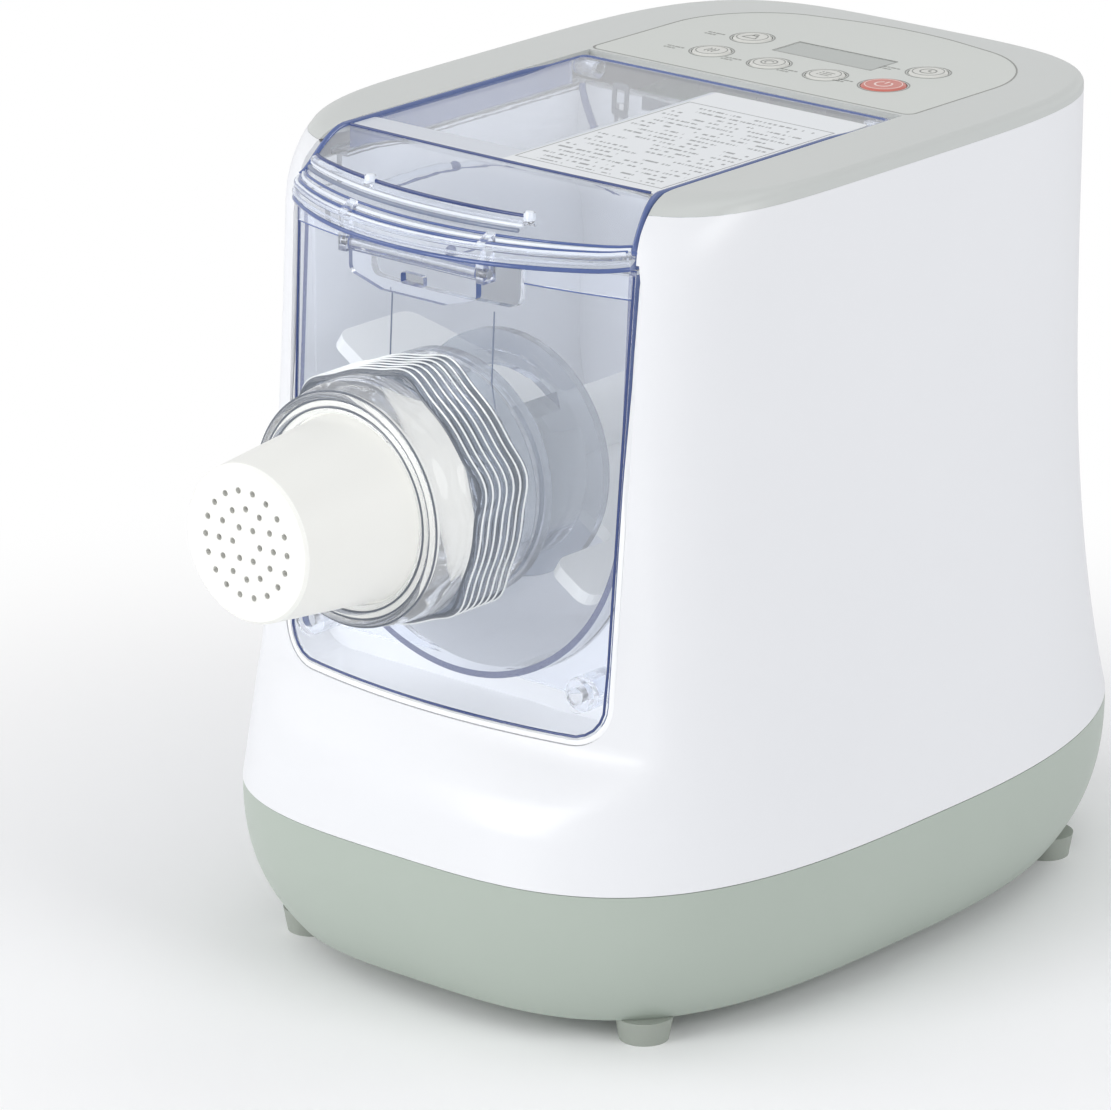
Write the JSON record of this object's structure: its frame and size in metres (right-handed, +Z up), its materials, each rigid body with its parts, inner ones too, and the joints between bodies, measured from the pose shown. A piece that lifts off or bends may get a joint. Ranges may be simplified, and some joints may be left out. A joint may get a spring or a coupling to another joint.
{
  "type": "electric pasta maker",
  "caption": "Countertop electric pasta maker: white housing on a sage base, clear front panel with extruder barrel, ribbed nut and die, clear hinged lid and push-button controls.",
  "frame": {"origin": "centre of the bounding box's base, at table height under the middle of the machine and its die", "axes": "+Z up, the extruder and clear panel face -Y, the controls are to the rear at +Y, +X is the viewer's right when facing the front"},
  "size_m": [0.234, 0.398, 0.2915],
  "materials": {
    "sage_plastic": "satin",
    "rubber": "matte",
    "steel": "bright",
    "dark_plastic": "satin",
    "brass": "turned",
    "white_plastic": "smooth gloss",
    "grey_plastic": "satin",
    "inlay_plastic": "satin",
    "display": "smooth",
    "red_plastic": "satin",
    "circuit_board": "coated",
    "clear_plastic": "clear",
    "gear_case": "moulded",
    "nylon": "moulded",
    "motor": "satin",
    "paddle_plastic": "smooth",
    "die_plastic": "smooth",
    "printed_film": "printed film"
  },
  "bodies": {
    "machine": {"base_tray": "sage_plastic", "rubber_feet": "rubber", "base_screws": "steel", "power_inlet": "dark_plastic", "inlet_pins": "brass", "body_housing": "white_plastic", "top_cover": "grey_plastic", "control_inlay": "inlay_plastic", "display_window": "display", "display_module": "dark_plastic", "control_board": "circuit_board", "tact_switches": "dark_plastic", "mixing_bay": "white_plastic", "mixing_trough": "clear_plastic", "shaft_seal": "rubber", "shaft_bush": "brass", "gearbox_case": "gear_case", "gearbox_cover": "gear_case", "gearbox_screws": "steel", "idler_pin": "steel", "motor_can": "motor", "power_board": "circuit_board", "power_parts": "dark_plastic", "hinge_pins": "steel"},
    "lid": {"lid": "clear_plastic", "recipe_sheet": "printed_film", "catch_pin": "steel"},
    "catch": {"lid_catch": "clear_plastic"},
    "start_button": {"start_button": "red_plastic"},
    "noodle_button": {"noodle_button": "inlay_plastic"},
    "knead_button": {"knead_button": "inlay_plastic"},
    "menu_button": {"menu_button": "inlay_plastic"},
    "weight_button": {"weight_button": "inlay_plastic"},
    "time_button": {"time_button": "inlay_plastic"},
    "drive": {"drive_gear": "nylon", "drive_shaft": "steel", "mixing_paddle": "paddle_plastic", "screw_auger": "paddle_plastic"},
    "idler": {"idler_gear": "nylon"},
    "rotor": {"motor_pinion": "brass", "cooling_fan": "dark_plastic"},
    "panel": {"front_panel": "clear_plastic", "extrusion_barrel": "clear_plastic"},
    "die": {"noodle_die": "die_plastic"},
    "nut": {"lock_nut": "clear_plastic"}
  },
  "joints": [
    {"name": "lid_open", "type": "hinge", "parent": "machine", "child": "lid", "pos_m": [0, 0.0484, 0.2854], "axis": [-1, 0, 0], "range_deg": [0, 95]},
    {"name": "catch_press", "type": "hinge", "parent": "lid", "child": "catch", "pos_m": [0, -0.1155, 0.2655], "axis": [-1, 0, 0], "range_deg": [0, 25], "stiffness_Nm_per_rad": 0.05},
    {"name": "start_press", "type": "slide", "parent": "machine", "child": "start_button", "axis": [0, 0, -1], "range_m": [0, 0.001], "stiffness_N_per_m": 700},
    {"name": "noodle_press", "type": "slide", "parent": "machine", "child": "noodle_button", "axis": [0, 0, -1], "range_m": [0, 0.001], "stiffness_N_per_m": 700},
    {"name": "knead_press", "type": "slide", "parent": "machine", "child": "knead_button", "axis": [0, 0, -1], "range_m": [0, 0.001], "stiffness_N_per_m": 700},
    {"name": "menu_press", "type": "slide", "parent": "machine", "child": "menu_button", "axis": [0, 0, -1], "range_m": [0, 0.001], "stiffness_N_per_m": 700},
    {"name": "weight_press", "type": "slide", "parent": "machine", "child": "weight_button", "axis": [0, 0, -1], "range_m": [0, 0.001], "stiffness_N_per_m": 700},
    {"name": "time_press", "type": "slide", "parent": "machine", "child": "time_button", "axis": [0, 0, -1], "range_m": [0, 0.001], "stiffness_N_per_m": 700},
    {"name": "drive_spin", "type": "hinge", "parent": "machine", "child": "drive", "pos_m": [0, 0.023, 0.187], "axis": [0, 1, 0], "continuous": true},
    {"name": "idler_spin", "type": "hinge", "parent": "machine", "child": "idler", "pos_m": [0, 0.077, 0.12575], "axis": [0, 1, 0], "continuous": true},
    {"name": "motor_spin", "type": "hinge", "parent": "machine", "child": "rotor", "pos_m": [0, 0.077, 0.08075], "axis": [0, 1, 0], "continuous": true},
    {"name": "panel_pull", "type": "slide", "parent": "machine", "child": "panel", "axis": [0, -1, 0], "range_m": [0, 0.12]},
    {"name": "die_pull", "type": "slide", "parent": "panel", "child": "die", "axis": [0, -1, 0], "range_m": [0, 0.08]},
    {"name": "nut_turn", "type": "hinge", "parent": "die", "child": "nut", "pos_m": [0, -0.133, 0.187], "axis": [0, 1, 0], "continuous": true}
  ],
  "couplings": [
    {"joint": "idler_spin", "follows": "drive_spin", "ratio": -4},
    {"joint": "motor_spin", "follows": "drive_spin", "ratio": 20}
  ]
}
